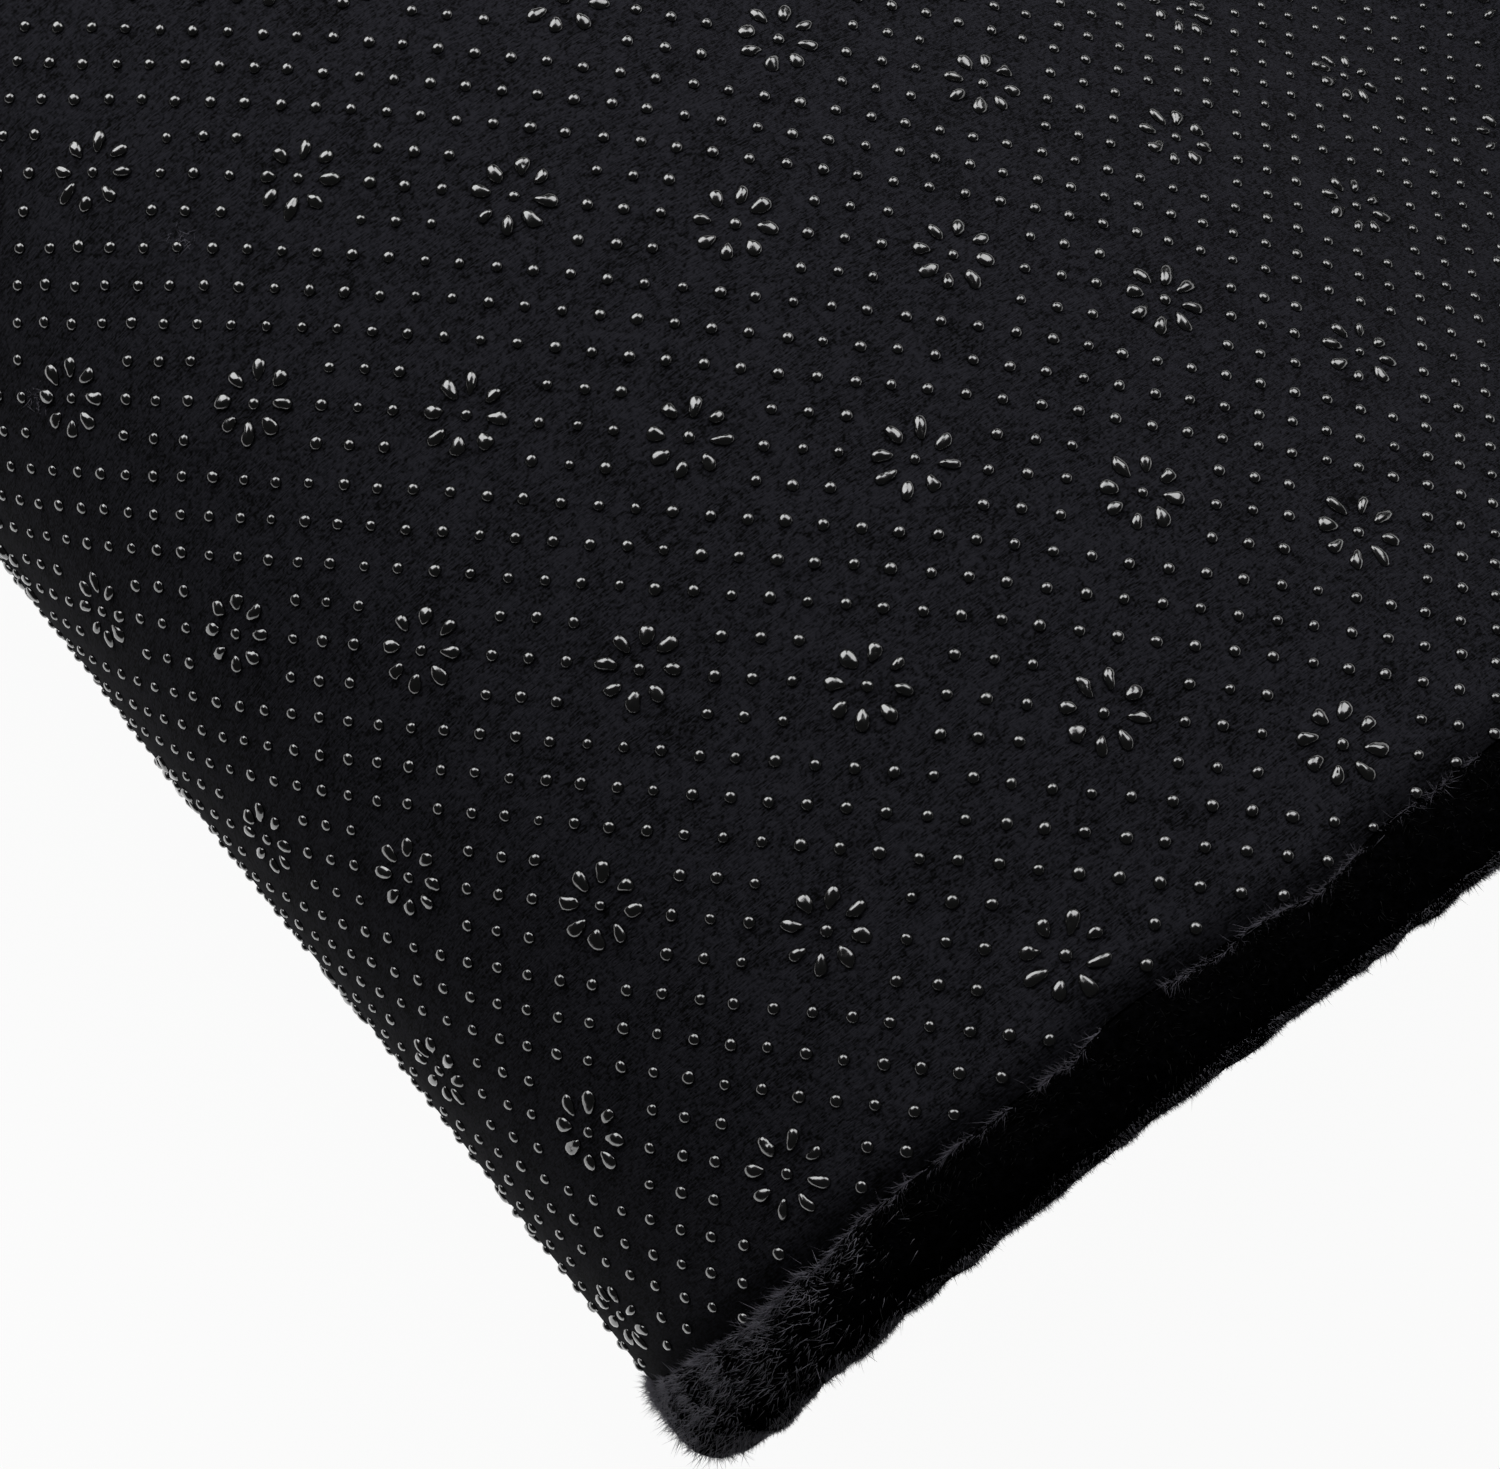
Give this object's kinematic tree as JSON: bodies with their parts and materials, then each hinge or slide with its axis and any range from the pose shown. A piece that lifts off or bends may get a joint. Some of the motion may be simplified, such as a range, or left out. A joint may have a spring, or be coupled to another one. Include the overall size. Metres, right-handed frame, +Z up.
{
  "type": "dashboard cover mat",
  "caption": "Plush dashboard cover mat folded over once, with a dotted non-slip backing cloth showing on top and a thick roll of black pile round its cut edge.",
  "frame": {"origin": "under the middle of the folded mat, on the surface that it lies on", "axes": "+X along the mat from the fold to the free ends, +Y across it, +Z up"},
  "size_m": [0.6498, 0.4836, 0.1162],
  "materials": {
    "plush_pile": "long black polyester pile",
    "backing_cloth": "brushed charcoal knit",
    "grip_dots": "glossy soft vinyl dots"
  },
  "bodies": {
    "root": {"plush_face": "plush_pile", "dotted_backing": "backing_cloth"}
  },
  "joints": []
}
